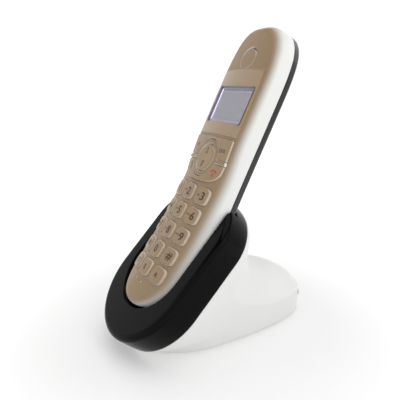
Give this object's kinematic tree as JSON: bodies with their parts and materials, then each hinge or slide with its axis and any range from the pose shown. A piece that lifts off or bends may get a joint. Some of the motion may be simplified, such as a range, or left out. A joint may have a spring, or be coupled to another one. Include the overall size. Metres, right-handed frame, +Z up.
{
  "type": "cordless phone with base",
  "caption": "Cordless telephone handset docked in a sloping black cup on a white wedge-shaped charging base, with keypad, display and separate shells.",
  "frame": {"origin": "on the ground under the middle of the whole object", "axes": "+Z up, keypad faces -Y and the docked handset leans back towards +Y, +X to the right of a person facing the keypad"},
  "size_m": [0.0728, 0.1294, 0.1768],
  "materials": {
    "white": "satin white moulded plastic",
    "black_gloss": "piano black gloss",
    "champagne": "satin pearl champagne face over white",
    "handset_black": "gloss black",
    "lens": "clear acrylic with a tinted printed border",
    "lcd": "lavender grey display glass",
    "diffuser": "white light guide",
    "rubber": "matte rubber",
    "membrane": "silicone rubber",
    "board": "green solder mask",
    "steel": "plated steel",
    "gold": "gold plated spring contacts",
    "socket": "black moulded plastic",
    "cell_wrap": "shrink-wrapped cells",
    "page_key_grey": "satin grey"
  },
  "bodies": {
    "base": {"base_body_shell": "white", "cradle_cup": "black_gloss", "base_bottom_plate": "white", "rubber_feet": "rubber", "base_screws": "steel", "base_pcb": "board", "dc_jack": "socket", "line_jack": "socket", "page_switch": "socket", "charge_contact_block": "socket"},
    "handset": {"handset_front_shell": "champagne", "handset_back_shell": "handset_black", "battery_cell_left": "cell_wrap", "battery_cell_right": "cell_wrap", "battery_contacts": "steel", "handset_charge_contacts": "gold", "handset_screws": "steel", "handset_pcb": "board", "keypad_membrane": "membrane", "display_lens": "lens", "lcd_panel": "lcd", "lcd_backlight": "diffuser", "earpiece_cap": "champagne", "earpiece_speaker": "socket", "microphone_capsule": "steel"},
    "battery_door": {"battery_door": "handset_black"},
    "page_key": {"page_key": "page_key_grey"},
    "charge_pin_left": {"charge_pin_left": "gold"},
    "charge_pin_right": {"charge_pin_right": "gold"},
    "key_1": {"key_1": "champagne"},
    "key_2": {"key_2": "champagne"},
    "key_3": {"key_3": "champagne"},
    "key_4": {"key_4": "champagne"},
    "key_5": {"key_5": "champagne"},
    "key_6": {"key_6": "champagne"},
    "key_7": {"key_7": "champagne"},
    "key_8": {"key_8": "champagne"},
    "key_9": {"key_9": "champagne"},
    "key_star": {"key_star": "champagne"},
    "key_0": {"key_0": "champagne"},
    "key_hash": {"key_hash": "champagne"},
    "key_redial": {"key_redial": "champagne"},
    "key_mute": {"key_mute": "champagne"},
    "key_recall": {"key_recall": "champagne"},
    "softkey_left": {"softkey_left": "champagne"},
    "softkey_right": {"softkey_right": "champagne"},
    "talk_key": {"talk_key": "champagne"},
    "end_key": {"end_key": "champagne"},
    "nav_key": {"nav_key": "champagne"}
  },
  "joints": [
    {"name": "handset_lift", "type": "slide", "parent": "base", "child": "handset", "axis": [0, 0.4518, 0.8921], "range_m": [0, 0.12]},
    {"name": "battery_door_slide", "type": "slide", "parent": "handset", "child": "battery_door", "axis": [0, -0.4518, -0.8921], "range_m": [0, 0.0032]},
    {"name": "page_key_press", "type": "slide", "parent": "base", "child": "page_key", "axis": [0, -1, 0], "range_m": [0, 0.0008], "stiffness_N_per_m": 1200},
    {"name": "charge_pin_left_press", "type": "slide", "parent": "base", "child": "charge_pin_left", "axis": [0, -0.4518, -0.8921], "range_m": [0, 0.001], "stiffness_N_per_m": 300},
    {"name": "charge_pin_right_press", "type": "slide", "parent": "base", "child": "charge_pin_right", "axis": [0, -0.4518, -0.8921], "range_m": [0, 0.001], "stiffness_N_per_m": 300},
    {"name": "key_1_press", "type": "slide", "parent": "handset", "child": "key_1", "axis": [0, 0.8921, -0.4518], "range_m": [0, 0.0006], "stiffness_N_per_m": 1500},
    {"name": "key_2_press", "type": "slide", "parent": "handset", "child": "key_2", "axis": [0, 0.8921, -0.4518], "range_m": [0, 0.0006], "stiffness_N_per_m": 1500},
    {"name": "key_3_press", "type": "slide", "parent": "handset", "child": "key_3", "axis": [0, 0.8921, -0.4518], "range_m": [0, 0.0006], "stiffness_N_per_m": 1500},
    {"name": "key_4_press", "type": "slide", "parent": "handset", "child": "key_4", "axis": [0, 0.8921, -0.4518], "range_m": [0, 0.0006], "stiffness_N_per_m": 1500},
    {"name": "key_5_press", "type": "slide", "parent": "handset", "child": "key_5", "axis": [0, 0.8921, -0.4518], "range_m": [0, 0.0006], "stiffness_N_per_m": 1500},
    {"name": "key_6_press", "type": "slide", "parent": "handset", "child": "key_6", "axis": [0, 0.8921, -0.4518], "range_m": [0, 0.0006], "stiffness_N_per_m": 1500},
    {"name": "key_7_press", "type": "slide", "parent": "handset", "child": "key_7", "axis": [0, 0.8921, -0.4518], "range_m": [0, 0.0006], "stiffness_N_per_m": 1500},
    {"name": "key_8_press", "type": "slide", "parent": "handset", "child": "key_8", "axis": [0, 0.8921, -0.4518], "range_m": [0, 0.0006], "stiffness_N_per_m": 1500},
    {"name": "key_9_press", "type": "slide", "parent": "handset", "child": "key_9", "axis": [0, 0.8921, -0.4518], "range_m": [0, 0.0006], "stiffness_N_per_m": 1500},
    {"name": "key_star_press", "type": "slide", "parent": "handset", "child": "key_star", "axis": [0, 0.8921, -0.4518], "range_m": [0, 0.0006], "stiffness_N_per_m": 1500},
    {"name": "key_0_press", "type": "slide", "parent": "handset", "child": "key_0", "axis": [0, 0.8921, -0.4518], "range_m": [0, 0.0006], "stiffness_N_per_m": 1500},
    {"name": "key_hash_press", "type": "slide", "parent": "handset", "child": "key_hash", "axis": [0, 0.8921, -0.4518], "range_m": [0, 0.0006], "stiffness_N_per_m": 1500},
    {"name": "key_redial_press", "type": "slide", "parent": "handset", "child": "key_redial", "axis": [0, 0.8921, -0.4518], "range_m": [0, 0.0006], "stiffness_N_per_m": 1500},
    {"name": "key_mute_press", "type": "slide", "parent": "handset", "child": "key_mute", "axis": [0, 0.8921, -0.4518], "range_m": [0, 0.0006], "stiffness_N_per_m": 1500},
    {"name": "key_recall_press", "type": "slide", "parent": "handset", "child": "key_recall", "axis": [0, 0.8921, -0.4518], "range_m": [0, 0.0006], "stiffness_N_per_m": 1500},
    {"name": "softkey_left_press", "type": "slide", "parent": "handset", "child": "softkey_left", "axis": [0, 0.8921, -0.4518], "range_m": [0, 0.0005], "stiffness_N_per_m": 1500},
    {"name": "softkey_right_press", "type": "slide", "parent": "handset", "child": "softkey_right", "axis": [0, 0.8921, -0.4518], "range_m": [0, 0.0005], "stiffness_N_per_m": 1500},
    {"name": "talk_key_press", "type": "slide", "parent": "handset", "child": "talk_key", "axis": [0, 0.8921, -0.4518], "range_m": [0, 0.0005], "stiffness_N_per_m": 1500},
    {"name": "end_key_press", "type": "slide", "parent": "handset", "child": "end_key", "axis": [0, 0.8921, -0.4518], "range_m": [0, 0.0005], "stiffness_N_per_m": 1500},
    {"name": "nav_key_rock", "type": "hinge", "parent": "handset", "child": "nav_key", "pos_m": [0, -0.00035, 0.10444], "axis": [1, 0, 0], "range_deg": [-2.5, 2.5], "stiffness_Nm_per_rad": 0.15}
  ]
}
